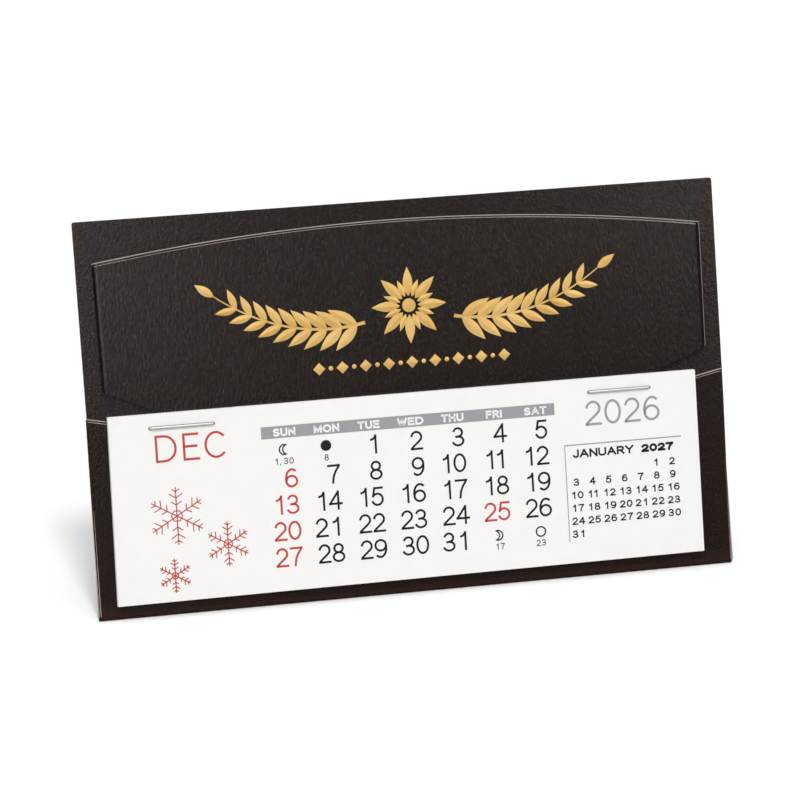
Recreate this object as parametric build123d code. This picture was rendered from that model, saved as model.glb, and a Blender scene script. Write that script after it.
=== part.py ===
from build123d import *
from math import cos, radians, sin, tan
import os

# Easel desk calendar: a folded leatherette cover card, an arch-headed easel card whose tail is the
# leg behind the board, and a pad of month leaves held by two clinched wire staples.
# Millimetres, +Z up. The front faces -Y, and the origin is on the table under the middle of the box.

# How it stands, in degrees from the vertical
board_lean = 14.5
leg_splay = 14.5

# Leatherette sheet, bonded back to back in two plies
ply = 0.35
fold_gap = 0.1  # air left between board and flap by the bottom fold
bend_radius = 0.2  # inside radius where the easel card turns back through the slit
running_gap = 0.1  # room round a card that passes an edge or turns at a crease
table_flat = 0.05  # depth to which the bottom fold is pressed flat by the table

# Cover card
board_width = 142.9
board_height = 85.7
board_corner = 0.8
flap_rise = 5.6  # rise of the flap's top edge from the slit's ends to the sides
flap_step = 0.6  # outer ply's top edge below the inner ply's
flap_inset = 0.35  # outer ply's side edges inside the inner ply's

# Easel card
neck_height = 39.1  # up the board, where the neck starts to turn into the slit
neck_margin = 27.45  # board beside the neck
neck_reach = 0.9  # from the board's back to the leg's crease
arch_margin = 3.75  # board above the arch
arch_rise = 5.0
head_margin = 3.3  # board beside the head
rim_side = 0.85  # liner ply beyond the face ply at the sides
rim_top = 0.55  # liner ply beyond the face ply at the arch
shoulder_slope = 22.1
shoulder_corner = 1.2
slit_end = 0.5  # slit beyond the neck at each end
leg_taper = 6.0  # leg narrower at its foot than at its crease, each side
leg_foot_corner = 3.0

# Pad
pad_left = 4.05  # board shown left of the pad
pad_right = 6.8  # board shown right of the pad
pad_bottom = 3.2  # board shown under the pad
backing = 0.4
leaf = 0.1
months = ["dec", "jan", "feb", "mar", "apr", "may", "jun", "jul", "aug", "sep", "oct", "nov", "dec"]
crease_drop = 1.8  # line where the leaves bend, under the staples' centre line

# Staples
wire = 0.6
wire_gap = 0.05
crown_length = 14.25
staple_rise = 2.3  # staples above the neck's turn
staple_margin = 2.6  # paper above the staples
staple_left = 9.15  # pad's left edge to the left staple
staple_right = 10.6  # right staple to the pad's right edge
clinch = 5.0

# Places on the board: across x, up the board s, out of its front face d
lean = radians(board_lean)
splay = radians(leg_splay)
board_back = -2 * ply
fold_middle = fold_gap / 2
fold_radius = fold_middle + 2 * ply
flap_front = fold_gap + 2 * ply
half_board = board_width / 2
half_neck = half_board - neck_margin
neck_under = neck_height - bend_radius - 2 * ply
flap_middle = neck_under - running_gap
crease_s = neck_under + ply
crease_d = board_back - neck_reach
staple_s = neck_height + staple_rise
pad_top = staple_s + staple_margin
pad_low_x = pad_left - half_board
pad_high_x = half_board - pad_right
backing_front = flap_front + backing
pad_front = backing_front + leaf * len(months)
leaf_crease = staple_s - crease_drop
half_crown = (crown_length - wire) / 2
staple_middles = {
    "staple_left": pad_low_x + staple_left + crown_length / 2,
    "staple_right": pad_high_x - staple_right - crown_length / 2,
}

# The board's own plane, standing so that the pressed fold lies on the table
stand_z = fold_radius - table_flat - fold_radius * cos(lean) - fold_middle * sin(lean)
board = Plane((0, 0, stand_z), x_dir=(1, 0, 0), z_dir=(0, -cos(lean), sin(lean)))
crease_point = board.from_local_coords((0, crease_s, crease_d))
leg_plane = Plane(crease_point, x_dir=(1, 0, 0), z_dir=(0, -cos(splay), -sin(splay)))
table = Pos(0, 0, -board_height / 2) * Box(2 * board_width, 4 * board_height, board_height)


def bar(low_a, high_a, low_b, high_b):
    """Rectangle between two pairs of coordinates of its sketch plane."""
    return Pos((low_a + high_a) / 2, (low_b + high_b) / 2) * Rectangle(high_a - low_a, high_b - low_b)


def slab(outline, low_d, high_d):
    """Sheet of an outline drawn on the board, between two heights over the board's front face."""
    return Pos(0, 0, low_d) * extrude(outline, high_d - low_d)


def across(profile, width):
    """Sheet of a profile in the (s, d) plane, run across the board."""
    return extrude(Plane.YZ * profile, width / 2, both=True)


def wire_holes():
    """The square holes that the staples' four ends punch, with room round the wire."""
    run = pad_front - board_back + 4 * wire
    hole = wire + 2 * wire_gap
    drill = Box(hole, hole, run)
    middle_d = (pad_front + board_back) / 2
    places = [m + side * half_crown for m in staple_middles.values() for side in (-1, 1)]
    return [Pos(x, staple_s, middle_d) * drill for x in places]


def cover_ply(near, far, drop, inset):
    """One ply of the folded card, from near to far off the fold's middle, flap trimmed to shape."""
    ring = Circle(far) - Circle(near)
    fold = Pos(fold_radius, fold_middle) * (ring & bar(-far, 0, -far, far))
    board_leg = bar(fold_radius, board_height, fold_middle - far, fold_middle - near)
    flap_leg = bar(fold_radius, board_height, fold_middle + near, fold_middle + far)
    sheet = across(fold + board_leg + flap_leg, board_width)
    side = flap_middle + flap_rise - drop
    middle = flap_middle - drop
    over_flap = make_face(Polyline(
        (-half_board, side), (-half_neck, middle), (half_neck, middle), (half_board, side),
        (half_board, 2 * board_height), (-half_board, 2 * board_height), close=True))
    sheet -= slab(over_flap, fold_middle, flap_front + ply)
    if inset:
        flap_keep = bar(inset - half_board, half_board - inset, 2 * fold_radius, 2 * board_height)
        flap_all = bar(-half_board, half_board, 2 * fold_radius, 2 * board_height)
        sheet -= slab(flap_all - flap_keep, fold_middle, flap_front + ply)
    top_corners = sheet.edges().filter_by(Axis.Z).group_by(Axis.Y)[-1]
    sheet = fillet(top_corners, board_corner)
    slit = bar(-half_neck - slit_end, half_neck + slit_end, flap_middle, neck_height + running_gap)
    return sheet - slab(slit, board_back - ply, fold_middle) - wire_holes()


def easel_ply(near, rim_x, rim_s, upper_half):
    """One ply of the easel card in front of the crease: head, turn, run through the slit and nose."""
    half = half_board - head_margin - rim_side + rim_x
    peak = board_height - arch_margin - rim_top + rim_s
    shoulder = neck_height + (half - half_neck) * tan(radians(shoulder_slope))
    side_top = peak - arch_rise
    edge = Polyline(
        (-half, side_top), (-half, shoulder), (-half_neck, neck_height),
        (half_neck, neck_height), (half, shoulder), (half, side_top))
    outline = make_face(edge + ThreePointArc((half, side_top), (0, peak), (-half, side_top)))
    corners = [v for v in outline.vertices() if abs(v.Y - shoulder) < ply]
    head = slab(fillet(corners, shoulder_corner), near, near + ply)

    inner = bend_radius + near
    outer = inner + ply
    ring = Circle(outer) - Circle(inner)
    turn = Pos(neck_height, -bend_radius) * (ring & bar(-outer, 0, 0, outer))
    run = bar(neck_height - outer, neck_height - inner, crease_d, -bend_radius)
    nose_side = bar(0, ply, -ply, 0) if upper_half else bar(-ply, 0, -ply, 0)
    nose = Pos(crease_s, crease_d) * (Circle(ply) & nose_side)
    return head + across(turn + run + nose, 2 * half_neck) - wire_holes()


def leg_ply(low, high):
    """One ply of the easel leg, from its seat at the crease to its foot on the table.

    The seat is hollow round the nose behind, and square in front so that the leg can fold flat.
    """
    length = crease_point.Z / cos(splay) + ply * tan(splay)
    half_foot = half_neck - leg_taper
    outline = make_face(Polyline(
        (-half_neck, 0), (-half_foot, -length), (half_foot, -length), (half_neck, 0), close=True))
    foot_corners = outline.vertices().group_by(Axis.Y)[0]
    plate = slab(fillet(foot_corners, leg_foot_corner), low, high)
    room = ply + running_gap
    hollow = Rotation(0, 90, 0) * Cylinder(room, 2 * board_width)
    square = Pos(0, 0, room / 2) * Box(2 * board_width, 2 * room, room)
    return leg_plane.location * (plate - hollow - square) - table


def pad_sheet(low_s, high_s, low_d, high_d):
    """Rectangle of the pad as wide as the pad is."""
    return slab(bar(pad_low_x, pad_high_x, low_s, high_s), low_d, high_d)


def leaf_front(number):
    """Height of a leaf's front face, where leaf 0 lies in front of all the others."""
    return pad_front - number * leaf


def leaf_stub(number):
    """The bound end of a leaf, above the line where it bends."""
    front = leaf_front(number)
    return pad_sheet(leaf_crease + running_gap, pad_top, front - leaf, front) - wire_holes()


def staple(middle):
    """Round wire: crown on the pad, two runs through the sheets, ends clinched in behind the board."""
    front = pad_front + wire_gap + wire / 2
    back = board_back - wire_gap - wire / 2
    left = middle - half_crown
    right = middle + half_crown
    route = FilletPolyline(
        (left + clinch, staple_s, back), (left, staple_s, back), (left, staple_s, front),
        (right, staple_s, front), (right, staple_s, back), (right - clinch, staple_s, back),
        radius=wire / 2 + wire_gap)
    return sweep(Plane(route @ 0, z_dir=route % 0) * Circle(wire / 2), route)


inner_near = fold_middle
outer_near = fold_middle + ply
on_board = {
    "cover_card_inner": cover_ply(inner_near, outer_near, 0, 0),
    "cover_card_outer": cover_ply(outer_near, fold_radius, flap_step, flap_inset),
    "easel_card_liner": easel_ply(0, rim_side, rim_top, True),
    "easel_card_face": easel_ply(ply, 0, 0, False),
    "pad_backing": pad_sheet(pad_bottom, pad_top, flap_front, backing_front) - wire_holes(),
    "leaf_stubs": Compound([leaf_stub(n).solid() for n in range(len(months))]),
}
for number, month in enumerate(months):
    front = leaf_front(number)
    name = f"leaf_{number + 1:02d}_{month}"
    on_board[name] = pad_sheet(pad_bottom, leaf_crease, front - leaf, front)
for name, middle in staple_middles.items():
    on_board[name] = staple(middle)

pieces = {name: board.location * piece for name, piece in on_board.items()}
pieces["cover_card_outer"] -= table
pieces["easel_leg_face"] = leg_ply(0, ply)
pieces["easel_leg_liner"] = leg_ply(-ply, 0)

# The whole is moved so that the origin lies under the middle of its box
box = Compound([solid for piece in pieces.values() for solid in piece.solids()]).bounding_box()
centred = Pos(0, -box.center().Y, 0)

os.makedirs("parts", exist_ok=True)
for name, piece in pieces.items():
    solids = [centred * solid for solid in piece.solids()]
    export_step(solids[0] if len(solids) == 1 else Compound(solids), f"parts/{name}.step")

leaf_hinge = centred * Pos(*board.from_local_coords((0, leaf_crease, pad_front)))
leg_hinge = centred * Pos(*crease_point)
print("box", box.min, box.max)
print("leaf hinge", leaf_hinge.position)
print("leg hinge", leg_hinge.position)
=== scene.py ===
import bmesh
import bpy
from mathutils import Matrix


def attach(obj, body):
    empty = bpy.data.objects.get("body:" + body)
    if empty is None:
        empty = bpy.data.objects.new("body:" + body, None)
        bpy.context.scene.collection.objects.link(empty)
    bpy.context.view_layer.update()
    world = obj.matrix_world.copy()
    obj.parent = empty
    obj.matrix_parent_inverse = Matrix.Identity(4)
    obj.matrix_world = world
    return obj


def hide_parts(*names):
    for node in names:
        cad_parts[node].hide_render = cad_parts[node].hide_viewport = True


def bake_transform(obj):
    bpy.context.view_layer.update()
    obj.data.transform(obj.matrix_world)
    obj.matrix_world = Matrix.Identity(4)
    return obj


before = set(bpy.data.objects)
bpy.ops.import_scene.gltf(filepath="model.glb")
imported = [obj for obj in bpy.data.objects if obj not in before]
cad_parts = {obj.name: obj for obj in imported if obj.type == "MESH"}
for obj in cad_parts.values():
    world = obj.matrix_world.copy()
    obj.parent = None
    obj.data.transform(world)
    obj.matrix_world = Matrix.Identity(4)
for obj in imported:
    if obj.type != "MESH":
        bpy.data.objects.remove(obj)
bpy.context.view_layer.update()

import calendar
import random
from math import cos, pi, radians, sin, sqrt, tan
from mathutils import Vector

# Easel desk calendar. The frame's cards get bevelled cut edges and a pressed grain, the leaves become
# thin sheets with rows of points down from their crease, and the print and the foil lie on them as thin
# films.
# Lengths are millimetres on the board: x across, s up the board, d out of its front face.
random.seed(7)

# Where the board stands in the frame
lean = radians(14.5)
foot_shift = -10.258075
foot_lift = -0.038630

# Cards
ply = 0.35
half_board = 71.45
board_top = 86.1
board_corner = 0.5
fold_middle = 0.05
fold_radius = 0.75
half_neck = 44.0
half_slit = 44.5
slit_low = 38.1
slit_high = 39.2
flap_rise = 5.6  # rise of the flap's top edge from the slit's ends to the sides
flap_step = 0.6  # back ply's top edge below the lining's
flap_inset = 0.35  # back ply's side edges inside the lining's
flap_foot = 0.95  # where the flap ends and the fold starts
rim_start = 24.0  # down from here the pale edge at the flap's sides widens
neck_height = 39.1
bend_radius = 0.2
crease_s = 38.55
crease_d = -1.6
arch_rise = 5.0
half_head = 67.3
head_peak = 81.4
rim_side = 0.85  # lining beyond the panel at the sides
rim_top = 0.55  # lining beyond the panel at the arch
shoulder_slope = radians(22.1)
shoulder_corner = 1.2
cut_bevel = 0.18
side_bevel = 0.25
edge_strip = 0.1  # outermost strip of a card's side, on which the bevel is nearly full
dull_bevel = 0.08
slack = 0.01  # room in comparing places

# Pad
pad_low_x = -67.4
pad_high_x = 64.65
pad_low_s = 3.08
pad_high_s = 44.0
leaf_crease = 39.6
backing_back = 0.8
backing_front = 1.2
pad_front = 2.5
leaf_pitch = 0.1
leaf_thick = 0.082
bend_end = 32.6  # rows of points for a bend run from a leaf's crease down to here
pad_skew = 0.4  # by which the left edge and the foot are out of square
leaf_slip = 0.05  # most by which a leaf lies to one side
foot_trim = 0.04  # most by which a leaf is longer or shorter
film = 0.01  # height of ink and foil over what they lie on
month_names = ["JAN", "FEB", "MAR", "APR", "MAY", "JUN", "JUL", "AUG", "SEP", "OCT", "NOV", "DEC"]
first_year = 2026
first_month = 12

# Staples
staple_middles = {"staple_left": -51.125, "staple_right": 46.925}
half_crown = 6.825
wire_radius = 0.3
wire_bend = 0.35
clinch = 5.0
staple_s = 40.93
crown_d = 2.72
dent_shade_radius = 0.36
dent_shade_reach = 0.1  # painted shade of the dent beyond the crown's ends
clinch_d = -1.05

per_metre = 1000  # millimetres
sharp_angle = radians(28)


def place(x, s, d):
    """Point of the board in the frame, in metres, kept on or above the table."""
    y = s * sin(lean) - d * cos(lean) + foot_shift
    z = s * cos(lean) + d * sin(lean) + foot_lift
    return Vector((x, y, max(z, 0.0))) / per_metre


# Materials


def colour(code):
    """Linear colour of an sRGB hex value."""
    parts = [int(code[i:i + 2], 16) / 255 for i in (1, 3, 5)]
    return [c / 12.92 if c <= 0.04045 else ((c + 0.055) / 1.055) ** 2.4 for c in parts] + [1.0]


def node(tree, kind, sockets, **settings):
    """Node of a kind with its settings, and with sockets linked or set to values."""
    made = tree.nodes.new("ShaderNode" + kind)
    for key, value in settings.items():
        setattr(made, key, value)
    for key, value in sockets.items():
        if isinstance(value, bpy.types.NodeSocket):
            tree.links.new(value, made.inputs[key])
        else:
            made.inputs[key].default_value = value
    return made


def start_material(name):
    """New material with its tree, its shader and the piece's own coordinates."""
    material = bpy.data.materials.new(name)
    material.use_nodes = True
    tree = material.node_tree
    where = node(tree, "TexCoord", {}).outputs["Object"]
    return material, tree, tree.nodes["Principled BSDF"], where


def per(size):
    """Pattern scale for features of a size in millimetres."""
    return per_metre / size


# Painted bounce light from the table: the foot of the card is painted a lighter brown, most of all at the
# table
bounce_light_height = 4.0
bounce_light_share = 0.72
bounce_light_brown = "#362722"


def leatherette(name, dark, light, grain, stretch, shine):
    """Vinyl-coated card with a leather grain pressed in by a roller: small soft pebbles with glossier
    crowns that are also painted lighter as a highlight, duller hollows, slow drifts of tone from
    handling, and a lighter brown painted near the table as its bounce light."""
    material, tree, shader, where = start_material(name)
    flow = node(tree, "TexNoise", {"Vector": where, "Scale": per(9.0), "Detail": 2.0})
    bent = node(tree, "VectorMath", {0: flow.outputs["Color"], "Scale": 0.7 / per_metre}, operation="SCALE")
    drawn = node(tree, "VectorMath", {0: where, 1: bent.outputs["Vector"]}, operation="ADD")
    laid = node(tree, "Mapping", {"Vector": drawn.outputs["Vector"], "Scale": (1.0, stretch, stretch)})
    along = laid.outputs["Vector"]
    pebbles = node(tree, "TexVoronoi", {"Vector": along, "Scale": per(grain), "Smoothness": 0.6},
                   feature="SMOOTH_F1")
    pores = node(tree, "TexNoise", {"Vector": along, "Scale": per(grain * 0.45), "Detail": 4.0})
    hollow = node(tree, "Mix", {
        "Factor": 0.55, "A": pebbles.outputs["Distance"], "B": pores.outputs["Fac"]}, data_type="FLOAT")
    depth = hollow.outputs["Result"]
    depths = {"Value": depth, "From Min": 0.32, "From Max": 0.62}
    bump = node(tree, "Bump", {"Strength": 0.8, "Distance": 0.08 / per_metre, "Height": depth}, invert=True)
    drift = node(tree, "TexNoise", {"Vector": where, "Scale": per(28.0), "Detail": 3.0})
    # Painted highlight: the pebbles' crowns are painted lighter, mixed with drifts of tone from handling
    crown = node(tree, "MapRange", {**depths, "To Min": 1.0, "To Max": 0.0})
    wear_and_shine = node(tree, "Mix", {
        "Factor": 0.3, "A": crown.outputs["Result"], "B": drift.outputs["Fac"]}, data_type="FLOAT")
    tone = node(tree, "Mix", {
        "Factor": wear_and_shine.outputs["Result"], "A": colour(dark), "B": colour(light)}, data_type="RGBA")
    height = node(tree, "SeparateXYZ", {"Vector": where}).outputs["Z"]
    # Painted bounce light: the colour is mixed towards a lighter brown close to the table
    bounce_light = node(tree, "MapRange", {
        "Value": height, "From Min": 0.0, "From Max": bounce_light_height / per_metre,
        "To Min": bounce_light_share, "To Max": 0.0})
    bounce_lit = node(tree, "Mix", {
        "Factor": bounce_light.outputs["Result"], "A": tone.outputs["Result"], "B": colour(bounce_light_brown)},
        data_type="RGBA")
    gloss = node(tree, "MapRange", {**depths, "To Min": 0.12, "To Max": 0.25})
    tree.links.new(bounce_lit.outputs["Result"], shader.inputs["Base Color"])
    tree.links.new(gloss.outputs["Result"], shader.inputs["Roughness"])
    tree.links.new(bump.outputs["Normal"], shader.inputs["Normal"])
    shader.inputs["IOR"].default_value = 1.5
    shader.inputs["Specular IOR Level"].default_value = shine
    shader.inputs["Specular Tint"].default_value = colour("#fff9f4")
    return material


def fibre_board(name, dark, light, fibre, relief):
    """Pulp board or paper: matt, with short pale and dark fibres and a faint felted relief. Real
    fibres are finer, and these are as coarse as they need to be to show."""
    material, tree, shader, where = start_material(name)
    fibres = node(tree, "TexNoise", {"Vector": where, "Scale": per(fibre), "Detail": 5.0, "Roughness": 0.7})
    cloud = node(tree, "TexNoise", {"Vector": where, "Scale": per(fibre * 14), "Detail": 2.0})
    mottle = node(tree, "Mix", {
        "Factor": 0.4, "A": fibres.outputs["Fac"], "B": cloud.outputs["Fac"]}, data_type="FLOAT")
    tone = node(tree, "Mix", {
        "Factor": mottle.outputs["Result"], "A": colour(dark), "B": colour(light)}, data_type="RGBA")
    bump = node(tree, "Bump", {
        "Strength": relief, "Distance": 0.03 / per_metre, "Height": fibres.outputs["Fac"]})
    dull = node(tree, "MapRange", {"Value": cloud.outputs["Fac"], "To Min": 0.78, "To Max": 0.95})
    tree.links.new(tone.outputs["Result"], shader.inputs["Base Color"])
    tree.links.new(dull.outputs["Result"], shader.inputs["Roughness"])
    tree.links.new(bump.outputs["Normal"], shader.inputs["Normal"])
    shader.inputs["Specular IOR Level"].default_value = 0.25
    return material


def printing_ink(name, thin, full):
    """Offset ink on uncoated paper: a satin film that lies a little thinner over some fibres."""
    material, tree, shader, where = start_material(name)
    fibres = node(tree, "TexNoise", {"Vector": where, "Scale": per(0.35), "Detail": 4.0})
    tone = node(tree, "Mix", {
        "Factor": fibres.outputs["Fac"], "A": colour(thin), "B": colour(full)}, data_type="RGBA")
    satin = node(tree, "MapRange", {"Value": fibres.outputs["Fac"], "To Min": 0.5, "To Max": 0.75})
    tree.links.new(tone.outputs["Result"], shader.inputs["Base Color"])
    tree.links.new(satin.outputs["Result"], shader.inputs["Roughness"])
    shader.inputs["Specular IOR Level"].default_value = 0.3
    return material


def stamped_foil(name, deep, bright):
    """Hot-stamped metal leaf: it takes the card's grain, so its mirror breaks into soft warm patches."""
    material, tree, shader, where = start_material(name)
    pebbles = node(tree, "TexVoronoi", {"Vector": where, "Scale": per(0.7), "Smoothness": 0.7},
                   feature="SMOOTH_F1")
    patch = node(tree, "TexNoise", {"Vector": where, "Scale": per(6.0), "Detail": 2.0})
    tone = node(tree, "Mix", {
        "Factor": patch.outputs["Fac"], "A": colour(deep), "B": colour(bright)}, data_type="RGBA")
    bump = node(tree, "Bump", {
        "Strength": 0.35, "Distance": 0.06 / per_metre, "Height": pebbles.outputs["Distance"]}, invert=True)
    wear_and_shine = node(tree, "MapRange", {"Value": patch.outputs["Fac"], "To Min": 0.30, "To Max": 0.48})
    tree.links.new(tone.outputs["Result"], shader.inputs["Base Color"])
    tree.links.new(wear_and_shine.outputs["Result"], shader.inputs["Roughness"])
    tree.links.new(bump.outputs["Normal"], shader.inputs["Normal"])
    shader.inputs["Metallic"].default_value = 0.5
    return material


def drawn_wire(name, dark, light):
    """Galvanised stitching wire: bright, with die marks along it, coarser than real ones so that they
    show."""
    material, tree, shader, where = start_material(name)
    laid = node(tree, "Mapping", {"Vector": where, "Scale": (0.06, 1.0, 1.0)})
    marks = node(tree, "TexNoise", {"Vector": laid.outputs["Vector"], "Scale": per(0.12), "Detail": 3.0})
    tone = node(tree, "Mix", {
        "Factor": marks.outputs["Fac"], "A": colour(dark), "B": colour(light)}, data_type="RGBA")
    bump = node(tree, "Bump", {
        "Strength": 0.2, "Distance": 0.01 / per_metre, "Height": marks.outputs["Fac"]})
    shine = node(tree, "MapRange", {"Value": marks.outputs["Fac"], "To Min": 0.34, "To Max": 0.5})
    tree.links.new(tone.outputs["Result"], shader.inputs["Base Color"])
    tree.links.new(shine.outputs["Result"], shader.inputs["Roughness"])
    tree.links.new(bump.outputs["Normal"], shader.inputs["Normal"])
    shader.inputs["Metallic"].default_value = 0.4
    return material


pebble_leatherette = leatherette(
    "leatherette_pebble_grain", "#120e0c", "#2a211d", grain=0.55, stretch=1.0, shine=0.37)
drag_leatherette = leatherette(
    "leatherette_drag_grain", "#120e0c", "#29201c", grain=0.45, stretch=0.36, shine=0.37)
matt_leatherette = leatherette(
    "leatherette_matt_grain", "#130e0c", "#291e19", grain=0.55, stretch=1.0, shine=0.24)
card_core = fibre_board("pulp_board_cut_edge", "#8a7d76", "#c0b3ab", fibre=0.3, relief=0.5)
# Black paint that stands in for shade: in the groove beside the easel panel, along its shoulders and round
# the staples
painted_shade_black = fibre_board("black_painted_shade", "#050404", "#0b0908", fibre=0.3, relief=0.5)
backing_board = fibre_board("chipboard_grey", "#a9a196", "#c9c2b6", fibre=0.4, relief=0.6)
pad_paper = fibre_board("offset_paper", "#e8e7e4", "#f2f1ef", fibre=0.25, relief=0.25)
black_ink = printing_ink("offset_ink_black", "#1e1e1e", "#101010")
red_ink = printing_ink("offset_ink_red", "#cb4c47", "#ba322e")
grey_ink = printing_ink("offset_ink_grey", "#a3a1a3", "#8f8d90")
knocked_out = printing_ink("paper_knocked_out_of_ink", "#e8e7e4", "#f2f1ef")
gold_foil = stamped_foil("hot_stamped_gold_foil", "#dfac50", "#f6d28a")
steel_wire = drawn_wire("galvanised_stitching_wire", "#b4b5b7", "#e2e2e4")
inks = [black_ink, red_ink, grey_ink, knocked_out]
black, red, grey, white = range(4)


# Meshes

# Finishes of a card, in the order of its materials
# The third finish is black paint that stands in for shade.
covered, core, painted_shade = range(3)


def painted_mesh(name, points, faces, finishes, painted):
    """Mesh of board points, each face painted with the finish of its number."""
    mesh = bpy.data.meshes.new(name)
    mesh.from_pydata([place(*p) for p in points], [], faces)
    for finish in finishes:
        mesh.materials.append(finish)
    mesh.polygons.foreach_set("material_index", painted)
    return mesh


def put_in_scene(name, data):
    """Object of a mesh, a lamp or a camera, in the scene."""
    made = bpy.data.objects.new(name, data)
    bpy.context.collection.objects.link(made)
    return made


def solid_piece(name, points, faces, finishes, painted, body):
    """Closed piece with its faces outward, on its body if it has one."""
    mesh = painted_mesh(name, points, faces, finishes, painted)
    shape = bmesh.new()
    shape.from_mesh(mesh)
    bmesh.ops.recalc_face_normals(shape, faces=shape.faces)
    shape.to_mesh(mesh)
    shape.free()
    mesh.shade_smooth()
    mesh.set_sharp_from_angle(angle=sharp_angle)
    made = put_in_scene(name, mesh)
    if body:
        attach(made, body)
    return made


def sheet_solid(near, far, gaps=()):
    """Points, faces and tags of a closed sheet between two grids of points, rows of columns, with
    the cells in gaps left open. A tag is the side, near, far or wall, and the cell's row and column."""
    rows, columns = len(near), len(near[0])
    points = [p for side in (near, far) for row in side for p in row]
    faces, tags = [], []

    def index(side, r, c):
        return (side * rows + r) * columns + c

    def is_open(r, c):
        return not (0 <= r < rows - 1 and 0 <= c < columns - 1) or (r, c) in gaps

    for r in range(rows - 1):
        for c in range(columns - 1):
            if is_open(r, c):
                continue
            ring = [(r, c), (r, c + 1), (r + 1, c + 1), (r + 1, c)]
            faces.append([index(0, *p) for p in ring])
            tags.append(("near", r, c))
            faces.append([index(1, *p) for p in reversed(ring)])
            tags.append(("far", r, c))
            beside = [(r - 1, c), (r, c + 1), (r + 1, c), (r, c - 1)]
            for k, cell in enumerate(beside):
                if is_open(*cell):
                    a, b = ring[k], ring[(k + 1) % 4]
                    faces.append([index(0, *b), index(0, *a), index(1, *a), index(1, *b)])
                    tags.append(("wall", r, c))
    return points, faces, tags


def append_part(points, faces, more_points, more_faces):
    """Add a part's points and faces to those of its piece."""
    shift = len(points)
    points += more_points
    faces += [[shift + i for i in face] for face in more_faces]


def ribbon_solid(profile, half_width):
    """Points and faces of a closed profile in (s, d), run across the board."""
    count = len(profile)
    points = [(x, s, d) for x in (-half_width, half_width) for s, d in profile]
    faces = [[i, (i + 1) % count, count + (i + 1) % count, count + i] for i in range(count)]
    faces.append(list(range(count))[::-1])
    faces.append([count + i for i in range(count)])
    return points, faces


# Cover card

# Width of the pale cut edge down the flap's left and right sides at its foot, and how far the foot
# flares out on the right
rim_top_width = 0.02
lining_rims = (0.14, 0.45)
back_rims = (0.14, 0.1)
lining_flare = 0.5
back_flare = 0.2
flare_reach = 0.6  # strip of the side that the flare moves
worn_turns = 4  # steps of the fold, from the flap, with a pale edge on the right
# The back ply's cut at the flap's top edge, and how far it narrows to the right
back_cut = 0.075
back_cut_change = 0.025
# The board is folded a little askew and widens upwards, and the flap's left end stands higher
board_skew = 0.33
board_spread = 0.13
flap_tilt = 0.22


def mirrored(positive):
    """Columns on both sides of the middle, from a rising list of the right side's."""
    return [-x for x in reversed(positive)] + [0.0] + positive


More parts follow.
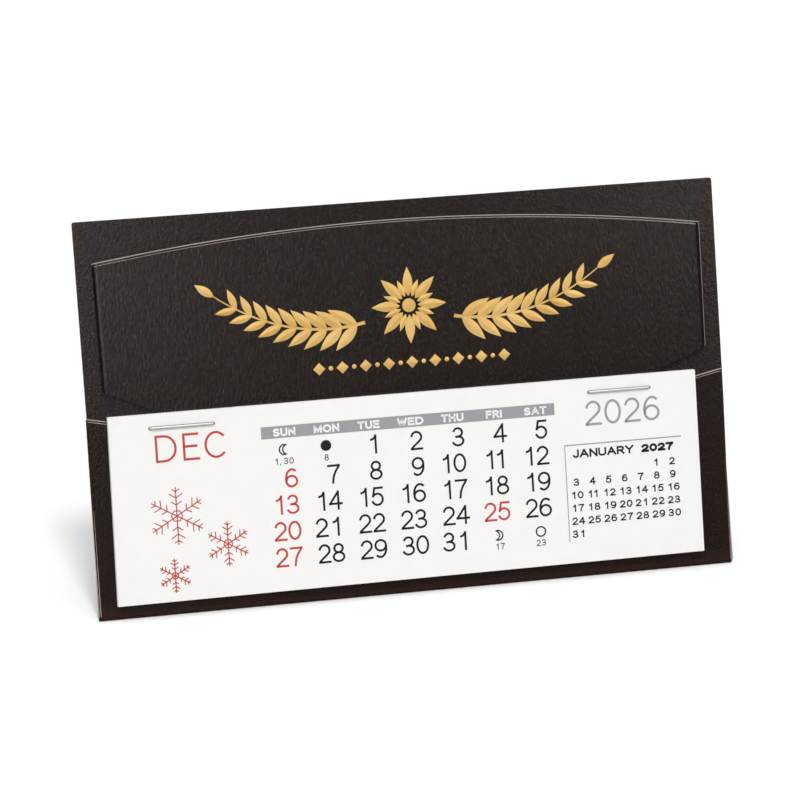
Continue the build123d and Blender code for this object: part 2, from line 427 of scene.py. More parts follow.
def cover_ply(name, node_name, near, far, drop, inset, back_facing):
    """One ply of the folded card, from the flap's cut top edge round the fold to the board's top."""
    inner_division, outer_division = 22.0, 58.0  # these only divide wide faces
    columns = mirrored([inner_division, half_neck, half_slit, outer_division, half_board - board_corner,
                        half_board - side_bevel, half_board - edge_strip, half_board])
    turns = 10
    flare = back_flare if back_facing else lining_flare
    rims = back_rims if back_facing else lining_rims
    near_grid, far_grid = [], []
    rows = ["flap_edge", "flap", "flap_rim", "flap_foot"] + ["fold"] * (turns + 1)
    rows += ["slit_low", "slit_high", "board", "board_edge"]
    turn = 0
    for row in rows:
        near_row, far_row = [], []
        for x in columns:
            beyond = max(0.0, abs(x) - half_neck) / (half_board - half_neck)
            flap_top = slit_low + flap_rise * beyond - drop
            flap_top += flap_tilt * max(0.0, -x / half_board)
            inward = max(0.0, abs(x) - half_board + board_corner)
            corner = board_top - board_corner + sqrt(max(0.0, board_corner ** 2 - inward ** 2))
            side = max(0.0, 1 - (half_board - abs(x)) / side_bevel)
            if row.startswith("flap"):
                rim = rims[x > 0] if row == "flap_foot" else rim_top_width
                cut = back_cut - back_cut_change * x / half_board if back_facing else cut_bevel
                bevel = max(side * min(rim, side_bevel), cut if row == "flap_edge" else 0.0)
                low, high = near, far - bevel
                s = {"flap_edge": flap_top, "flap": flap_top - cut, "flap_rim": rim_start,
                     "flap_foot": flap_foot}[row]
                edge = half_board - inset
                across = x * edge / half_board
                if side > 0 or abs(x) == half_board - side_bevel:
                    across = (1 if x > 0 else -1) * (edge - rim * (1 - side))
                if row == "flap_foot" and x > half_board - flare_reach:
                    across += flare
                ends = [(across, s, fold_middle + off) for off in (low, high)]
            elif row == "fold":
                bevel = side * dull_bevel
                low, high = near, far - bevel
                angle = pi * turn / turns
                across = x
                if x > half_board - flare_reach:
                    across += flare * max(0.0, 1 - 2 * turn / turns)
                ends = [(across, fold_radius - off * sin(angle), fold_middle + off * cos(angle))
                        for off in (low, high)]
            else:
                bevel = max(side, 1.0 if row == "board_edge" else 0.0) * dull_bevel
                low, high = (near, far - bevel) if back_facing else (near + bevel, far)
                s = {"slit_low": slit_low, "slit_high": slit_high, "board": corner - dull_bevel,
                     "board_edge": corner}[row]
                share = (s - slit_low) / (board_top - slit_low)
                across = x + board_skew * (1 - share) + board_spread * share * x / half_board
                ends = [(across, s, fold_middle - off) for off in (low, high)]
            near_row.append(ends[0])
            far_row.append(ends[1])
        if row == "fold":
            turn += 1
        near_grid.append(near_row)
        far_grid.append(far_row)
    fold_start = rows.index("fold")
    slit_row = rows.index("slit_low")
    gaps = {(slit_row, c) for c in range(len(columns) - 1)
            if columns[c] >= -half_slit and columns[c + 1] <= half_slit}
    points, faces, tags = sheet_solid(near_grid, far_grid, gaps)
    painted = []
    for side, r, c in tags:
        rim = min(abs(columns[c]), abs(columns[c + 1])) >= half_board - side_bevel - slack
        right = columns[c] > 0
        cut = rows[r] == "flap_edge" and side != "near"
        cut = cut or (rows[r] == "flap" and right and side == "wall")
        cut = cut or (rows[r] == "flap_rim" and (side == "wall" or (side == "far" and rim)))
        cut = cut or (right and rim and side != "near" and fold_start - 1 <= r < fold_start + worn_turns)
        slit_wall = side == "wall" and r in (slit_row - 1, slit_row + 1)
        inner_wall = slit_wall and max(abs(columns[c]), abs(columns[c + 1])) <= half_slit
        painted.append(core if cut or inner_wall else covered)
    leather = matt_leatherette if back_facing else pebble_leatherette
    made = solid_piece(name, points, faces, [leather, card_core], painted, "stand")
    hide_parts(node_name)


cover_ply("cover_card_lining", "cover_card_inner", fold_middle, fold_middle + ply, 0.0, 0.0, False)
cover_ply("cover_card_back", "cover_card_outer", fold_middle + ply, fold_radius, flap_step, flap_inset, True)


# Easel card

# The lining is pressed down beside the panel: in a groove on the right, to its edge on the left, and painted
# black there as shade
groove_start = half_head - 0.3
groove_end = 67.95
groove_wall = 0.06
groove_depth = 0.27
# The card is stapled a little askew, and its left edge leans out at the top
panel_skew = 0.1
left_tuck = 0.4
left_reach = 6.0
left_shifts = (0.15, 0.15, -0.3, -0.3)  # for each row of points, from the shoulder up
arch_tilt = 0.36
shoulder_tilt = 0.5
shoulder_shade_bands = (0.15, 0.5)  # painted shade: black band along the left and the right shoulder
# The panel's cut edge at the arch's left end, and how much wider it is at the right end
panel_cut = 0.05
panel_cut_change = 0.08


def easel_ply(name, node_name, near, rim_x, rim_s, finish, under):
    """One ply of the easel card: arched head, turn through the slit and rounded nose at the crease."""
    half = half_head + rim_x
    peak = head_peak + rim_s
    far = near + ply
    radius = (half ** 2 + arch_rise ** 2) / (2 * arch_rise)
    shoulder = neck_height + (half - half_neck) * tan(shoulder_slope)
    reach = shoulder_corner * tan((pi / 2 - shoulder_slope) / 2)
    centre_x = half - shoulder_corner
    centre_s = shoulder + reach
    start_x = half - reach * cos(shoulder_slope)
    arch_steps = 16
    positive = [half * k / arch_steps for k in range(1, arch_steps)] + [half_neck, start_x]
    positive += [half - side_bevel, half - edge_strip, half]
    if under:
        positive += [groove_start, groove_end, groove_end + groove_wall]
    columns = mirrored(sorted(positive))
    near_grid, far_grid = [[] for _ in left_shifts], [[] for _ in left_shifts]
    for x in columns:
        low = neck_height + max(0.0, abs(x) - half_neck) * tan(shoulder_slope)
        if abs(x) > start_x:
            low = centre_s - sqrt(max(0.0, shoulder_corner ** 2 - (abs(x) - centre_x) ** 2))
        rightward = (x + half) / (2 * half)
        outside = max(0.0, abs(x) - half_neck) / (half - half_neck)
        low -= shoulder_tilt * outside * (1 if x > 0 else -1)
        high = peak - radius + sqrt(radius ** 2 - x ** 2) - arch_tilt * max(0.0, x) / half
        cut = cut_bevel
        if not under:
            high += panel_skew * rightward
            cut = panel_cut + panel_cut_change * rightward
        side = max(0.0, 1 - (half - abs(x)) / side_bevel) * (side_bevel if x > 0 else dull_bevel)
        if under and abs(x) > groove_start - slack and x < groove_end + slack:
            side = groove_depth
        across = x
        if under and x < -half_head:
            across = left_tuck * (x + half_head) - half_head
        leftward = max(0.0, left_reach - half - x) / left_reach
        heights = [low, low + shoulder_shade_bands[x > 0], high - cut, high]
        bevels = [side, side, side, max(side, cut)]
        for r, left_shift in enumerate(left_shifts):
            shifted = across + left_shift * leftward
            near_grid[r].append((shifted, heights[r], near))
            far_grid[r].append((shifted, heights[r], far - bevels[r]))
    points, faces, tags = sheet_solid(near_grid, far_grid)
    painted = []
    shoulder_row, arch_row = 0, 2
    groove_edge = groove_end + groove_wall
    for side, r, c in tags:
        nearest = min(abs(columns[c]), abs(columns[c + 1]))
        lining_front = under and side == "far"
        on_arch = r == arch_row and side != "near"
        # The groove and the shoulder band are painted black as shade
        on_side = lining_front and columns[c] > groove_edge - slack
        in_groove_shade = lining_front and nearest > groove_start - slack and columns[c + 1] < groove_edge + slack
        in_shoulder_shade = not under and r == shoulder_row and side == "far" and nearest >= half_neck
        painted.append(core if on_arch or on_side else painted_shade if in_groove_shade or in_shoulder_shade else covered)

    inner = bend_radius + near
    outer = inner + ply
    turn_steps = 8
    quarter = [pi / 2 * k / turn_steps for k in range(turn_steps + 1)]
    outside = [(neck_height - outer * sin(a), outer * cos(a) - bend_radius) for a in quarter]
    inside = [(neck_height - inner * sin(a), inner * cos(a) - bend_radius) for a in quarter]
    if under:
        nose = [(crease_s + ply * sin(a), crease_d - ply * cos(a)) for a in quarter]
    else:
        nose = [(crease_s - ply * cos(a), crease_d - ply * sin(a)) for a in quarter]
    profile = outside + nose + inside[::-1]
    neck_points, neck_faces = ribbon_solid(profile, half_neck)
    append_part(points, faces, neck_points, neck_faces)
    painted += [covered] * (len(neck_faces) - 2) + [core, core]
    finishes = [finish, card_core, painted_shade_black]
    made = solid_piece(name, points, faces, finishes, painted, "stand")
    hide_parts(node_name)


easel_ply("easel_head_lining", "easel_card_liner", 0.0, rim_side, rim_top, pebble_leatherette, True)
easel_ply("easel_head_panel", "easel_card_face", ply, 0.0, 0.0, drag_leatherette, False)


def dress_plate(node_name, finish, edge_finish):
    """Finish on a frame plate's two faces and another on its cut edges."""
    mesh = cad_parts[node_name].data
    mesh.materials.clear()
    mesh.materials.append(finish)
    mesh.materials.append(edge_finish)
    broad = max(mesh.polygons, key=lambda p: p.area).normal.copy()
    face_cosine = 0.7
    for polygon in mesh.polygons:
        polygon.material_index = covered if abs(polygon.normal.dot(broad)) > face_cosine else core


dress_plate("easel_leg_face", pebble_leatherette, card_core)
dress_plate("easel_leg_liner", pebble_leatherette, card_core)


# Pad


def pad_row(s, d, slip):
    """Points across the pad, whose left edge and foot are trimmed a little out of square."""
    rise = (s - pad_low_s) / (pad_high_s - pad_low_s)
    left = pad_low_x + pad_skew * rise
    parts = 8
    steps = [k / parts for k in range(parts + 1)]
    return [(left + slip + (pad_high_x - left) * t, s + pad_skew * t * (1 - rise), d) for t in steps]


def pad_solid(slip, levels, back, front):
    """Points and faces of a thin sheet of the pad with a row of points at each level down the board."""
    grids = [[pad_row(s, d, slip) for s in levels] for d in (back, front)]
    points, faces, _ = sheet_solid(*grids)
    return points, faces


def pad_sheet(name, slip, levels, back, front, body, finish):
    """Piece of one thin sheet of the pad."""
    points, faces = pad_solid(slip, levels, back, front)
    return solid_piece(name, points, faces, [finish], [0] * len(faces), body)


bend_steps = 14
bend_levels = [leaf_crease - (leaf_crease - bend_end) * k / bend_steps for k in range(bend_steps + 1)]
flat_levels = [26.0, 20.0, 14.0, 8.5]
leaves = sorted(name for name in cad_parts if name.startswith("leaf_") and name != "leaf_stubs")

stub_points, stub_faces = [], []
for number in range(len(leaves)):
    front = pad_front - number * leaf_pitch
    slip = random.uniform(-leaf_slip, leaf_slip) if number else 0.0
    stub = pad_solid(slip, [pad_high_s, leaf_crease], front - leaf_thick, front)
    append_part(stub_points, stub_faces, *stub)
stubs = solid_piece("leaf_stubs_paper", stub_points, stub_faces, [pad_paper], [0] * len(stub_faces),
                    "stand")
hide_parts("leaf_stubs")
backing = pad_sheet("pad_backing_board", 0.0, [pad_high_s, pad_low_s], backing_back, backing_front, "stand",
                    backing_board)
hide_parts("pad_backing")


# Print


def bow(x, y, wide, high, start, end, count=0):
    """Points of an elliptic arc, its angles in degrees."""
    count = count or max(4, round(abs(end - start) / 18))
    angles = [radians(start + (end - start) * k / count) for k in range(count + 1)]
    return [(x + wide * cos(a), y + high * sin(a)) for a in angles]


def arc(x, s, radius, start, end, count):
    """Points of a round arc."""
    return bow(x, s, radius, radius, start, end, count)


def turned(strokes, wide):
    """Strokes turned half round, as a nine is a six turned round."""
    return [[(wide - x, 1 - y) for x, y in path] for path in strokes]


# A pair of ones is set closer, and a one at the end leaves a gap, as parts of the letters' height
ones_kern = 0.18
end_one_gap = 0.065
word_gap = 0.3

# Light grotesque figures and capitals of height 1: width, then the middle lines of the strokes
figure = 0.62
six = [bow(0.31, 0.31, 0.29, 0.31, 0, 360), bow(0.34, 0.46, 0.33, 0.54, 58, 180) + [(0.02, 0.31)]]
letter_p = [(0, 0), (0, 1)] + bow(0.3, 0.74, 0.26, 0.26, 90, -90) + [(0, 0.48)]
letters = {
    "0": (figure, [bow(0.31, 0.5, 0.3, 0.5, 0, 360)]),
    "1": (figure, [[(0.44, 0), (0.44, 1)], [(0.2, 0.77), (0.29, 0.8), (0.37, 0.87), (0.43, 0.98)]]),
    "2": (figure, [bow(0.31, 0.7, 0.27, 0.3, 165, -25)
                   + [(0.45, 0.44), (0.2, 0.21), (0.05, 0.06), (0.03, 0), (0.6, 0)]]),
    "3": (figure, [bow(0.29, 0.75, 0.24, 0.25, 155, -90) + [(0.2, 0.5)],
                   bow(0.29, 0.25, 0.29, 0.26, 85, -158)]),
    "4": (figure, [[(0.46, 0), (0.46, 1)], [(0.45, 0.98), (0.0, 0.3), (0.64, 0.3)]]),
    "5": (figure, [[(0.56, 1), (0.14, 1)] + bow(0.29, 0.33, 0.29, 0.33, 143, -155)]),
    "6": (figure, six),
    "7": (figure, [[(0.02, 1), (0.6, 1), (0.58, 0.93), (0.4, 0.64), (0.29, 0.35), (0.24, 0)]]),
    "8": (figure, [bow(0.31, 0.76, 0.23, 0.24, 0, 360), bow(0.31, 0.26, 0.29, 0.26, 0, 360)]),
    "9": (figure, turned(six, figure)),
    ",": (0.08, [[(0.06, 0.04), (0.0, -0.16)]]),
    "A": (0.72, [[(0, 0), (0.36, 1), (0.72, 0)], [(0.12, 0.33), (0.6, 0.33)]]),
    "B": (0.6, [[(0, 0.52), (0, 1)] + bow(0.3, 0.76, 0.25, 0.24, 90, -90) + [(0, 0.52)],
                [(0, 0.52), (0, 0)] + bow(0.32, 0.26, 0.28, 0.26, -90, 90)]),
    "C": (0.74, [bow(0.43, 0.5, 0.43, 0.5, 46, 314)]),
    "D": (0.82, [[(0, 0), (0, 1)] + bow(0.32, 0.5, 0.46, 0.5, 90, -90) + [(0, 0)]]),
    "E": (0.58, [[(0.56, 1), (0, 1), (0, 0), (0.58, 0)], [(0, 0.52), (0.5, 0.52)]]),
    "F": (0.5, [[(0.5, 1), (0, 1), (0, 0)], [(0, 0.52), (0.44, 0.52)]]),
    "G": (0.78, [bow(0.4, 0.5, 0.4, 0.5, 42, 335) + [(0.76, 0.45), (0.44, 0.45)]]),
    "H": (0.62, [[(0, 0), (0, 1)], [(0.62, 0), (0.62, 1)], [(0, 0.52), (0.62, 0.52)]]),
    "I": (0.02, [[(0.01, 0), (0.01, 1)]]),
    "J": (0.42, [[(0.42, 1)] + bow(0.21, 0.24, 0.21, 0.24, 0, -170)]),
    "L": (0.46, [[(0, 1), (0, 0), (0.46, 0)]]),
    "M": (0.76, [[(0, 0), (0, 1), (0.38, 0.08), (0.76, 1), (0.76, 0)]]),
    "N": (0.62, [[(0, 0), (0, 1), (0.62, 0), (0.62, 1)]]),
    "O": (0.8, [bow(0.4, 0.5, 0.4, 0.5, 0, 360)]),
    "P": (0.56, [letter_p]),
    "R": (0.58, [letter_p, [(0.28, 0.48), (0.58, 0)]]),
    "S": (0.58, [bow(0.29, 0.75, 0.26, 0.25, 35, 270) + bow(0.29, 0.25, 0.29, 0.25, 90, -145)[1:]]),
    "T": (0.6, [[(0, 1), (0.6, 1)], [(0.3, 1), (0.3, 0)]]),
    "U": (0.62, [[(0, 1)] + bow(0.31, 0.31, 0.31, 0.31, 180, 360) + [(0.62, 1)]]),
    "V": (0.68, [[(0, 1), (0.34, 0), (0.68, 1)]]),
    "W": (0.96, [[(0, 1), (0.24, 0), (0.48, 0.94), (0.72, 0), (0.96, 1)]]),
    "Y": (0.66, [[(0, 1), (0.33, 0.48), (0.66, 1)], [(0.33, 0.48), (0.33, 0)]]),
}


def stroke_runs(path, reach):
    """Runs of a path between its sharp corners, each drawn on at both ends as a square cap."""
    sharpest = radians(95)
    spots = [Vector(p) for p in path]
    cuts = [i for i in range(1, len(spots) - 1)
            if (spots[i] - spots[i - 1]).angle(spots[i + 1] - spots[i]) > sharpest]
    marks = [0] + cuts + [len(spots) - 1]
    runs = [spots[a:b + 1] for a, b in zip(marks, marks[1:])]
    return [[run[0] + (run[0] - run[1]).normalized() * reach] + run[1:-1]
            + [run[-1] + (run[-1] - run[-2]).normalized() * reach] for run in runs]


class PrintFilm:
    """Ink on one leaf, gathered before it becomes a mesh."""

    def __init__(self):
        self.points, self.faces, self.inks = [], [], []

    def add(self, points, faces, ink):
        append_part(self.points, self.faces, points, faces)
        self.inks += [ink] * len(faces)

    def text(self, words, x, s, ink, align, height, weight, spacing, stretch=1.0):
        """Words with their foot at s, and with x at the part of their width that align gives."""
        pen, paths = 0.0, []
        for letter, following in zip(words, words[1:] + " "):
            if letter == " ":
                pen += word_gap
                continue
            wide, strokes = letters[letter]
            paths += [[(pen + px, py) for px, py in path] for path in strokes]
            pen += wide + spacing - (ones_kern if letter == following == "1" else 0.0)
        wide = pen - spacing + (end_one_gap if words[-1] == "1" else 0.0)
        up = height - weight
        over = up * stretch
        start = x - align * (wide * over + weight) + weight / 2
        for path in paths:
            drawn = [(start + px * over, s + weight / 2 + py * up) for px, py in path]
            if (Vector(path[0]) - Vector(path[-1])).length < 1e-6:
                self.stroke(drawn[:-1], weight, ink, True)
                continue
            for run in stroke_runs(drawn, weight / 2):
                self.stroke(run, weight, ink)

    def stroke(self, path, width, ink, closed=False):
        """Line of even width along a path, mitred at its corners."""
        least_cosine = 0.7  # it keeps sharp mitres short
        count = len(path)
        spots = [Vector(p) for p in path]
        points = []
        for i, spot in enumerate(spots):
            before = spot - spots[i - 1] if closed or i else spots[1] - spot
            after = spots[(i + 1) % count] - spot if closed or i < count - 1 else before
            across = before.normalized().orthogonal()
            mitre = (across + after.normalized().orthogonal()).normalized()
            reach = mitre * (width / 2 / max(mitre.dot(across), least_cosine))
            points += [tuple(spot + reach), tuple(spot - reach)]
        last = count if closed else count - 1
        ends = 2 * count
        faces = [[2 * i, 2 * i + 1, (2 * i + 3) % ends, (2 * i + 2) % ends] for i in range(last)]
        self.add(points, faces, ink)

    def block(self, low_x, high_x, low_s, high_s, ink):
        self.add([(low_x, low_s), (high_x, low_s), (high_x, high_s), (low_x, high_s)], [[0, 1, 2, 3]], ink)

    def disc(self, x, s, radius, ink):
        sides = 24
        self.add(arc(x, s, radius, 0, 360, sides)[:-1], [list(range(sides))], ink)


# Places on a leaf: points as x and s, blocks as their low and high x and their low and high s
at_left, at_middle, at_right = 0.0, 0.5, 1.0
weekdays = ["SUN", "MON", "TUE", "WED", "THU", "FRI", "SAT"]
month_place = (-57.2, 33.4)
year_place = (38.8, 33.55)
weekday_bar = (-33.9, 31.95, 36.55, 39.2)
weekday_baseline = 36.95
weekday_middles = [-28.8 + 9.397 * k for k in range(7)]
day_rights = [-26.28 + 9.417 * k for k in range(7)]
top_baseline = 31.43
low_baseline = 8.48
usual_weeks = 4  # weeks after the first that have room for full figures
day_heights = (4.2, 3.5)  # in usual months, and in those that run into one week more
day_tilt = 0.0033  # rows of days are printed a little out of level
small_rule_over = (33.72, 60.65, 29.4, 29.67)
small_rule_beside = (33.72, 33.93, 8.2, 29.4)
small_month_place = (35.6, 26.65)
small_year_place = (58.8, 26.65)
small_left = 36.07
small_pitch = 3.7
small_top = 23.38
small_row = 2.88
last_quarter_place = (-29.0, 34.0)
new_moon_place = (-19.74, 34.1)
first_quarter_place = (17.55, 11.1)
full_moon_place = (27.35, 11.1)
moon_dates = (("1, 30", -29.2, 30.8), ("8", -19.75, 30.8), ("17", 17.9, 7.93), ("23", 27.3, 7.93))
snowflakes = ((-53.4, 21.6, 6.3), (-42.6, 14.6, 4.9), (-54.6, 8.7, 3.7))  # with their radius
white_lift = 1.8  # the white figures lie over their bar, in films of ink


def month_weeks(year, month):
    """The month's days with their weekday, from Sunday 0, and their week."""
    first, days = calendar.monthrange(year, month)
    lead = (first + 1) % 7
    return [(day, (lead + day - 1) % 7, (lead + day - 1) // 7) for day in range(1, days + 1)]


def print_month(film, year, month):
    """A month's leaf: name, weekday bar, day figures, year and the small block of the next month."""
    name = month_names[month - 1]
    film.text(name, *month_place, red, at_left, height=5.9, weight=0.52, spacing=0.3)
    film.block(*weekday_bar, grey)
    for name, x in zip(weekdays, weekday_middles):
        film.text(name, x, weekday_baseline, white, at_middle,
                  height=1.75, weight=0.42, spacing=0.32, stretch=1.4)
    days = month_weeks(year, month)
    weeks = days[-1][2]
    pitch = (top_baseline - low_baseline) / max(weeks, usual_weeks)
    height = day_heights[weeks > usual_weeks]
    for day, weekday, week in days:
        holiday = weekday == 0 or (month, day) in ((12, 25), (1, 1))
        right = day_rights[weekday]
        baseline = top_baseline - pitch * week + day_tilt * right
        film.text(str(day), right, baseline, red if holiday else black, at_right,
                  height=height, weight=0.48, spacing=0.15, stretch=1.09)
    film.text(str(year), *year_place, grey, at_left, height=5.45, weight=0.54, spacing=0.2, stretch=1.11)

    next_year, next_month = (year + 1, 1) if month == 12 else (year, month + 1)
    film.block(*small_rule_over, grey)
    film.block(*small_rule_beside, grey)
    name = calendar.month_name[next_month].upper()
    film.text(name, *small_month_place, black, at_left,
              height=1.85, weight=0.42, spacing=0.25, stretch=1.62)
    film.text(str(next_year), *small_year_place, black, at_right,
              height=1.8, weight=0.53, spacing=0.25, stretch=1.7)
    for day, weekday, week in month_weeks(next_year, next_month):
        x, baseline = small_left + small_pitch * weekday, small_top - small_row * week
        film.text(str(day), x, baseline, black, at_middle,
                  height=1.64, weight=0.31, spacing=0.3, stretch=1.3)


def print_crescent(film, x, s, turn):
    """Outline of a quarter moon, its round side turned to an angle in degrees."""
    outer_radius, inner_radius, hollow_shift, line = 1.08, 1.04, 0.7, 0.31
    outer_half, inner_half = 105, 75
    hollow_x = x - hollow_shift * cos(radians(turn))
    outer = arc(x, s, outer_radius, turn - outer_half, turn + outer_half, 14)
    inner = arc(hollow_x, s, inner_radius, turn + inner_half, turn - inner_half, 12)
    film.stroke(outer + inner, line, black, True)


def print_moons(film):
    """Moon marks of the front leaf, each over its day's number."""
    print_crescent(film, *last_quarter_place, 180)
    film.disc(*new_moon_place, 1.2, black)
    print_crescent(film, *first_quarter_place, 0)
    film.stroke(arc(*full_moon_place, 1.05, 0, 345, 23), 0.34, black, True)
    for words, x, s in moon_dates:
        film.text(words, x, s, black, at_middle, height=1.4, weight=0.2, spacing=0.3, stretch=1.1)


def print_snowflake(film, x, s, radius):
    """Six-armed snow crystal in red line."""
    arm_line, fine_line = 0.26, 0.24
    barbs = ((0.38, 0.22), (0.62, 0.28), (0.84, 0.16))  # place and length, as parts of the radius
    barb_turn = pi / 3.2

    def out_from(start, angle, length):
        return (start[0] + length * cos(angle), start[1] + length * sin(angle))

    for k in range(6):
        angle = pi / 6 + k * pi / 3
        film.stroke([(x, s), out_from((x, s), angle, radius)], arm_line, red)
        for share, barb in barbs:
            root = out_from((x, s), angle, share * radius)
            for turn in (-barb_turn, barb_turn):
                film.stroke([root, out_from(root, angle + turn, barb * radius)], fine_line, red)
    film.stroke(arc(x, s, radius * 0.2, 0, 300, 5), fine_line, red, True)


def flat_piece(name, points, faces, finishes, painted, levels=()):
    """Thin film on the front of something, cut at each level so that it can bend there."""
    mesh = painted_mesh(name, points, faces, finishes, painted)
    shape = bmesh.new()
    shape.from_mesh(mesh)
    upward = (place(0, 1, 0) - place(0, 0, 0)).normalized()
    outward = (place(0, 50, 1) - place(0, 50, 0)).normalized()
    for s in levels:
        everything = shape.verts[:] + shape.edges[:] + shape.faces[:]
        at_level = place(0, s, pad_front)
        bmesh.ops.bisect_plane(shape, geom=everything, dist=1e-8, plane_co=at_level, plane_no=upward)
    shape.normal_update()
    bmesh.ops.reverse_faces(shape, faces=[f for f in shape.faces if f.normal.dot(outward) < 0])
    shape.to_mesh(mesh)
    shape.free()
    return put_in_scene(name, mesh)


for number, name in enumerate(leaves):
    front = pad_front - number * leaf_pitch
    slip = random.uniform(-leaf_slip, leaf_slip) if number else 0.0
    trim = random.uniform(-foot_trim, foot_trim) if number else 0.0
    levels = bend_levels + flat_levels + [pad_low_s + trim]
    paper = pad_sheet(name + "_paper", slip, levels, front - leaf_thick, front, None, pad_paper)
    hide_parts(name)

    months_on = first_month - 1 + number
    film_on = PrintFilm()
    print_month(film_on, first_year + months_on // 12, months_on % 12 + 1)
    if number == 0:
        print_moons(film_on)
        for snowflake in snowflakes:
            print_snowflake(film_on, *snowflake)
    lifts = [front + film * (white_lift if ink == white else 1.0) for ink in range(len(inks))]
    ink_of_point = {i: ink for face, ink in zip(film_on.faces, film_on.inks) for i in face}
    points = [(x, s, lifts[ink_of_point[i]]) for i, (x, s) in enumerate(film_on.points)]
    printed = flat_piece(name + "_print", points, film_on.faces, inks, film_on.inks, bend_levels[1:])
    for sheet in (paper, printed):
        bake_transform(sheet)


# Staples


def run_at(path, i):
    """Direction of a path at its point i."""
    before, after = path[max(i - 1, 0)], path[min(i + 1, len(path) - 1)]
    return Vector((after[0] - before[0], after[1] - before[1])).normalized()


def staple(name, middle):
    """Round wire with its crown pressed a little into the paper, and black painted on the paper round it as
    shade.
    """
    left, right, bend = middle - half_crown, middle + half_crown, wire_bend
    corners = ((left + bend, clinch_d + bend, 270), (left + bend, crown_d - bend, 180),
               (right - bend, crown_d - bend, 90), (right - bend, clinch_d + bend, 0))
    path = [(left + clinch, clinch_d)]
    for x, d, start in corners:
        path += arc(x, d, bend, start, start - 90, 6)
    path += [(right - clinch, clinch_d)]
    sides = 14
    on_wire, on_dent_shade = 0, 1
    points, faces = [], []
    for i, spot in enumerate(path):
        run = run_at(path, i)
        for k in range(sides):
            angle = 2 * pi * k / sides
            off = wire_radius * cos(angle)
            s = staple_s + wire_radius * sin(angle)
            points.append((spot[0] - run.y * off, s, spot[1] + run.x * off))
    for i in range(len(path) - 1):
        for k in range(sides):
            a, b = i * sides + k, i * sides + (k + 1) % sides
            faces.append([a, b, b + sides, a + sides])
    faces.append(list(range(sides)))
    faces.append([len(points) - 1 - k for k in range(sides)])
    painted = [on_wire] * len(faces)
    # Painted shade: a flat black outline on the paper round the wire
    dent_shade_outline = arc(left - dent_shade_reach, staple_s, dent_shade_radius, 90, 270, 10)
    dent_shade_outline += arc(right + dent_shade_reach, staple_s, dent_shade_radius, -90, 90, 10)
    count = len(dent_shade_outline)
    shift = len(points)
    points += [(px, ps, pad_front + depth) for depth in (film, 0.5 * film) for px, ps in dent_shade_outline]
    faces.append([shift + k for k in range(count)])
    faces.append([shift + count + k for k in range(count)])
    for k in range(count):
        after = (k + 1) % count
        faces.append([shift + k, shift + after, shift + count + after, shift + count + k])
    painted += [on_dent_shade] * (len(faces) - len(painted))
    finishes = [steel_wire, painted_shade_black]
    made = solid_piece(name + "_wire", points, faces, finishes, painted, "stand")
    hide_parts(name)


for name, middle in staple_middles.items():
    staple(name, middle)


# Foil


class Foil:
    """Stamped ornament, gathered before it becomes a mesh. Its forms are a little raised in the middle."""

    def __init__(self, base, rise):
        self.base, self.rise = base, rise
        self.points, self.faces = [], []

    def leaf(self, x, s, angle, length, width):
        """Pointed leaf from its foot, with a raised rib."""
        along = Vector((cos(angle), sin(angle)))
        across = Vector((-along.y, along.x))
        steps = 8
        shift = len(self.points)
        self.points.append((x, s, self.base))
        for k in range(1, steps):
            t = k / steps
            middle = Vector((x, s)) + along * length * t
            reach = across * width / 2 * sin(pi * t ** 0.85)
            for spot, up in ((middle + reach, 0.0), (middle, self.rise), (middle - reach, 0.0)):
                self.points.append((spot.x, spot.y, self.base + up * sin(pi * t)))
        tip = Vector((x, s)) + along * length
        self.points.append((tip.x, tip.y, self.base))
        rows = [[shift + 1 + 3 * k + j for j in range(3)] for k in range(steps - 1)]
        for j in range(2):
            self.faces.append([shift, rows[0][j], rows[0][j + 1]])
            self.faces.append([rows[-1][j + 1], rows[-1][j], shift + 1 + 3 * (steps - 1)])
            for a, b in zip(rows, rows[1:]):
                self.faces.append([a[j], b[j], b[j + 1], a[j + 1]])

    def boss(self, x, s, radius, sides):
        """Low cone on a polygon: a bead with many sides, a lozenge with four."""
        shift = len(self.points)
        self.points.append((x, s, self.base + self.rise))
        for k in range(sides):
            a = 2 * pi * k / sides
            self.points.append((x + radius * cos(a), s + radius * sin(a), self.base))
        for k in range(sides):
            self.faces.append([shift, shift + 1 + k, shift + 1 + (k + 1) % sides])

    def stem(self, path, width, taper):
        """Stem along a path, narrower at its end by a share of its width."""
        shift = len(self.points)
        for i, spot in enumerate(path):
            run = run_at(path, i)
            reach = width / 2 * (1 - taper * i / (len(path) - 1))
            self.points.append((spot[0] - run.y * reach, spot[1] + run.x * reach, self.base))
            self.points.append((spot[0] + run.y * reach, spot[1] - run.x * reach, self.base))
        for i in range(len(path) - 1):
            a = shift + 2 * i
            self.faces.append([a, a + 1, a + 3, a + 2])


def curve_point(a, b, c, t):
    """Point of a curve from a to c that b draws towards itself."""
    return [(1 - t) ** 2 * p + 2 * t * (1 - t) * q + t * t * r for p, q, r in zip(a, b, c)]


def heading(start, end):
    """Angle of the way from one point to another."""
    return Vector((end[0] - start[0], end[1] - start[1])).angle_signed(Vector((1, 0)))


foil_rise = 0.06
middle_x, middle_s = 1.0, 63.0
petals = 16
petal_foot = 2.0
petal_sizes = ((6.4, 2.2), (4.0, 1.3))  # lengths and widths that take turns
sprig_route = ((10.0, 60.0), (27.0, 56.5), (43.0, 68.0))  # out from the middle, and up the board
stem_steps = 24
leaf_pairs = 9
first_pair, pair_run, little_ahead = 0.05, 0.9, 0.02  # as parts of a sprig's route
leaf_length, leaf_width = 7.6, 2.5  # at the foot of a sprig
leaf_shrink = 0.42
leaf_turn = radians(38)
row_s = 50.6
row_pitch = 5.2
row_half = 4

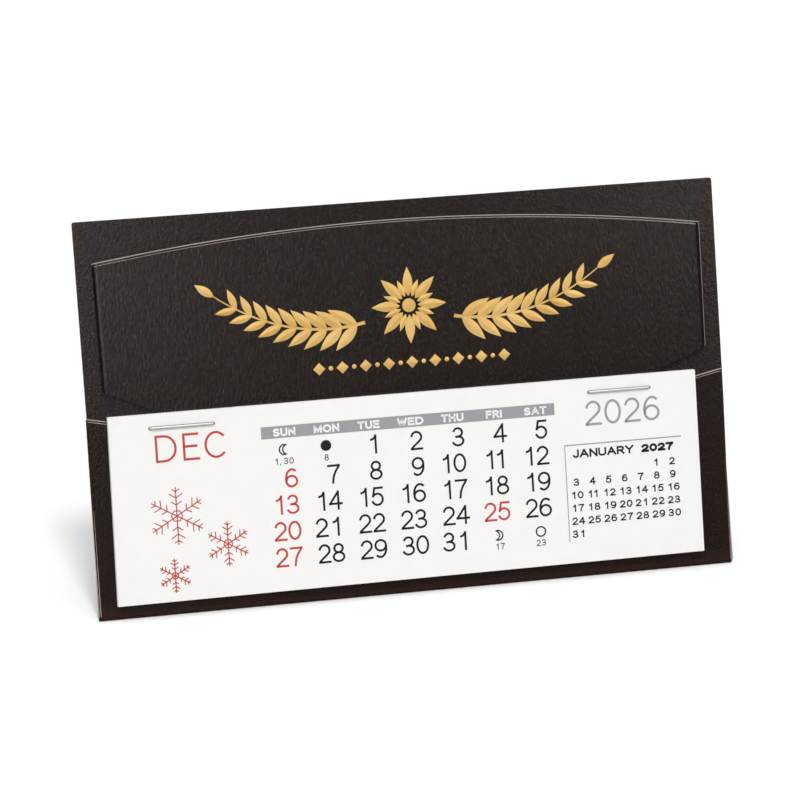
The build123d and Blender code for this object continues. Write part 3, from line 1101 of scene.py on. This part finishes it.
foil = Foil(2 * ply + film, foil_rise)
for k in range(petals):
    angle = pi / 2 + 2 * pi * k / petals
    foot = (middle_x + petal_foot * cos(angle), middle_s + petal_foot * sin(angle))
    foil.leaf(*foot, angle, *petal_sizes[k % 2])
foil.boss(middle_x, middle_s, radius=1.5, sides=24)
for side in (-1, 1):
    sprig = [[middle_x + side * out, up] for out, up in sprig_route]
    path = [curve_point(*sprig, k / stem_steps) for k in range(stem_steps + 1)]
    foil.stem(path, width=0.75, taper=0.7)
    for k in range(leaf_pairs):
        t = first_pair + pair_run * k / leaf_pairs
        x, s = curve_point(*sprig, t)
        ahead = heading((x, s), curve_point(*sprig, t + little_ahead))
        size = 1 - leaf_shrink * t
        for turn in (-leaf_turn, leaf_turn):
            foil.leaf(x, s, ahead + turn, leaf_length * size, leaf_width * size)
    foil.leaf(*path[-1], heading(path[-2], path[-1]), length=5.0, width=1.9)
for k in range(-row_half, row_half + 1):
    foil.boss(middle_x + row_pitch * k, row_s, radius=1.35, sides=4)
    if k < row_half:
        foil.boss(middle_x + row_pitch * (k + 0.5), row_s, radius=0.5, sides=12)
ornament = flat_piece("foil_ornament", foil.points, foil.faces, [gold_foil], [0] * len(foil.faces))
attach(ornament, "stand")


# Table, light and camera

# The half of the table in front is kept out of the leatherette's gloss, which stays dark low down
table_white = fibre_board("matt_white_table", "#f8f8f8", "#fcfcfc", fibre=3.0, relief=0.0)
table_reach = 30.0
table_seam = -0.0105
table_halves = {"table_front": (-table_reach, table_seam), "table_back": (table_seam, table_reach)}
for name, (low, high) in table_halves.items():
    half_mesh = bpy.data.meshes.new(name)
    left, right = -table_reach, table_reach
    corners = [(left, low, 0), (right, low, 0), (right, high, 0), (left, high, 0)]
    half_mesh.from_pydata(corners, [], [[0, 1, 2, 3]])
    half_mesh.materials.append(table_white)
    half = put_in_scene(name, half_mesh)
    half.visible_glossy = name == "table_back"

scene = bpy.context.scene
scene.view_settings.view_transform = "Standard"

# The studio gives soft light from above and little from low down, and its backdrop is plain white
world = bpy.data.worlds.new("studio")
world.use_nodes = True
sky = world.node_tree
direction = node(sky, "TexCoord", {}).outputs["Generated"]
rise = node(sky, "SeparateXYZ", {"Vector": direction}).outputs["Z"]
glow = node(sky, "MapRange", {
    "Value": rise, "From Min": 0.38, "From Max": 0.9, "To Min": 0.03, "To Max": 1.3})
seen = node(sky, "LightPath", {}).outputs["Is Camera Ray"]
shown = node(sky, "Mix", {"Factor": seen, "A": glow.outputs["Result"], "B": 1.0}, data_type="FLOAT")
sky.links.new(shown.outputs["Result"], sky.nodes["Background"].inputs["Strength"])
sky.nodes["Background"].inputs["Color"].default_value = colour("#ffffff")
scene.world = world

calendar_middle = Vector((0, 0, 0.04))


def aimed(name, lamp, spot):
    """Lamp at a spot, aimed at the middle of the calendar."""
    holder = put_in_scene(name, lamp)
    holder.location = spot
    holder.rotation_euler = (calendar_middle - Vector(spot)).to_track_quat("-Z", "Y").to_euler()
    return holder


overhead = bpy.data.lights.new("overhead", "SUN")
overhead.energy = 1.3
overhead.angle = radians(11)
aimed("overhead", overhead, (-0.03, -0.50, 1.07))
# The right softbox only shines in the leatherette's gloss
softboxes = {"front_left": ((-0.05, -0.86, 0.43), 1.1), "front_right": ((0.48, -0.82, 0.48), 1.55)}
for name, (spot, power) in softboxes.items():
    softbox = bpy.data.lights.new(name, "AREA")
    softbox.shape = "RECTANGLE"
    softbox.size = 0.1
    softbox.size_y = 0.5
    softbox.energy = power
    aimed(name, softbox, spot).visible_diffuse = name == "front_left"

camera_turn = radians(-13.823)
camera_rise = radians(19.626)
camera_reach = 0.8666
aim = Vector((-0.001748, 0.001742, 0.040509))
toward = Vector((
    sin(camera_turn) * cos(camera_rise), -cos(camera_turn) * cos(camera_rise), sin(camera_rise)))
camera_data = bpy.data.cameras.new("camera")
camera_data.sensor_width = 36.0
camera_data.lens = 178.3
camera = put_in_scene("camera", camera_data)
camera.location = aim + toward * camera_reach
camera.rotation_euler = (-toward).to_track_quat("-Z", "Y").to_euler()
scene.camera = camera
